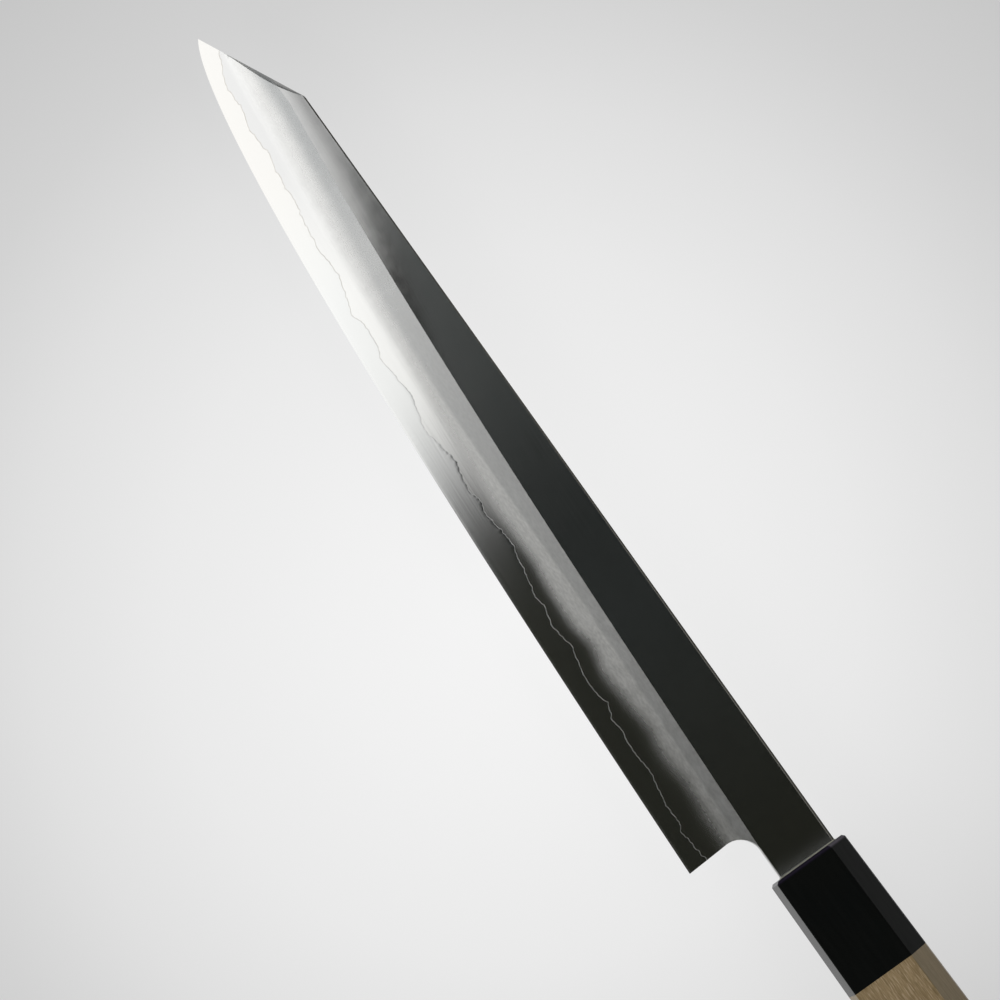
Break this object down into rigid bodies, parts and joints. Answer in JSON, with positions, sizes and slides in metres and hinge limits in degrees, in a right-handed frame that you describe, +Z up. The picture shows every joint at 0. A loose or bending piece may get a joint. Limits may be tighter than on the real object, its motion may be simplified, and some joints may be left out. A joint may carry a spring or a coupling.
{
  "type": "sujihiki knife",
  "caption": "Long slender Japanese slicing knife with an angled tip, a ridged convex bevel, a dark horn ferrule and an octagonal wooden handle.",
  "frame": {"origin": "under the middle of the knife's box, on the surface that it lies on", "axes": "+X along the handle from the tip to the butt, +Y towards the spine, +Z up, out of the blade's left face"},
  "size_m": [0.429, 0.0428, 0.021],
  "materials": {
    "core_steel": "fine stoned polish, brighter than the cladding",
    "clad_steel": "satin, with hairlines along the blade",
    "horn": "polished black buffalo horn",
    "handle_wood": "sanded, unvarnished magnolia",
    "dowel_wood": "plain turned hardwood",
    "resin": "cast resin"
  },
  "bodies": {
    "root": {"blade_core": "core_steel", "cladding_left": "clad_steel", "cladding_right": "clad_steel", "ferrule": "horn", "handle_body": "handle_wood", "dowel": "dowel_wood", "tang_resin": "resin"}
  },
  "joints": []
}
